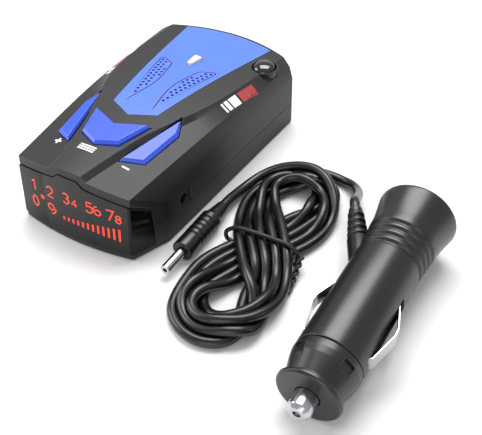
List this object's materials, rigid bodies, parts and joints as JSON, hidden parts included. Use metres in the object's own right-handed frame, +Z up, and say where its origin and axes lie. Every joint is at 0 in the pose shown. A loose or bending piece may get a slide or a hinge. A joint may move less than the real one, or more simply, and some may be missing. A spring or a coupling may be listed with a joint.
{
  "type": "radar detector",
  "caption": "Dashboard radar detector with smoked display window, three blue keys, blue speaker panel and an unplugged 12 V lead.",
  "frame": {"origin": "under the middle of the detector, on the surface that its grip pad stands on", "axes": "+Z up; +Y along the detector's length, from the display end towards the windscreen end; +X towards the side with the power socket and the loose lead"},
  "size_m": [0.1454, 0.1353, 0.0319],
  "materials": {
    "casing_abs": "fine moulded texture, black",
    "blue_panel": "satin sprayed blue",
    "blue_key": "satin sprayed blue",
    "smoked_window": "polished smoked acrylic",
    "display": "dark display face",
    "gloss_dome": "polished",
    "ivory_light": "translucent",
    "black_plastic": "moulded",
    "plug_plastic": "satin moulded",
    "board": "solder mask",
    "plated_metal": "bright nickel plate",
    "cast_zinc": "cast",
    "steel": "zinc plated",
    "ferrite": "sintered",
    "cone": "paper",
    "rubber": "matte",
    "cord_pvc": "semi gloss PVC",
    "red_button": "translucent",
    "fuse_glass": "clear"
  },
  "bodies": {
    "detector": {"top_shell": "casing_abs", "bottom_shell": "casing_abs", "speaker_panel": "blue_panel", "status_light": "ivory_light", "tact_switch_up": "black_plastic", "tact_switch_menu": "black_plastic", "tact_switch_down": "black_plastic", "display_lens": "smoked_window", "display_module": "display", "laser_dome": "gloss_dome", "dome_bezel": "black_plastic", "dome_sensor": "plated_metal", "dc_jack": "black_plastic", "dc_jack_pin": "plated_metal", "circuit_board": "board", "key_board": "board", "speaker_basket": "steel", "speaker_cone": "cone", "speaker_magnet": "ferrite", "horn_antenna": "cast_zinc", "windscreen_laser_window": "gloss_dome", "case_screw_1": "steel", "case_screw_2": "steel", "case_screw_3": "steel", "case_screw_4": "steel", "grip_pad": "rubber"},
    "key_up": {"button_up": "blue_key"},
    "key_menu": {"button_menu": "blue_key"},
    "key_down": {"button_down": "blue_key"},
    "lead": {"plug_body": "plug_plastic", "plug_nose": "plug_plastic", "fuse": "fuse_glass", "tip_spring": "steel", "side_contact_right": "plated_metal", "side_contact_left": "plated_metal", "switch_module": "black_plastic", "plug_boot": "rubber", "power_cord": "cord_pvc", "cord_hank": "cord_pvc", "cord_tail": "cord_pvc", "cord_tie": "cord_pvc", "dc_plug_grip": "rubber", "dc_plug_barrel": "plated_metal"},
    "tip": {"plug_tip": "plated_metal"},
    "switch_cap": {"switch_button": "red_button"}
  },
  "joints": [
    {"name": "key_up_press", "type": "slide", "parent": "detector", "child": "key_up", "axis": [0, 0, -1], "range_m": [0, 0.0006], "stiffness_N_per_m": 1200},
    {"name": "key_menu_press", "type": "slide", "parent": "detector", "child": "key_menu", "axis": [0, 0, -1], "range_m": [0, 0.0006], "stiffness_N_per_m": 1200},
    {"name": "key_down_press", "type": "slide", "parent": "detector", "child": "key_down", "axis": [0, 0, -1], "range_m": [0, 0.0006], "stiffness_N_per_m": 1200},
    {"name": "lead_moved_away", "type": "slide", "parent": "detector", "child": "lead", "axis": [1, 0, 0], "range_m": [0, 0.08]},
    {"name": "tip_press", "type": "slide", "parent": "lead", "child": "tip", "axis": [0, 0.9991, 0.0413], "range_m": [0, 0.0035], "stiffness_N_per_m": 900, "deforming": ["tip_spring"]},
    {"name": "switch_press", "type": "slide", "parent": "lead", "child": "switch_cap", "axis": [0, -0.9991, -0.0413], "range_m": [0, 0.002], "stiffness_N_per_m": 900}
  ]
}
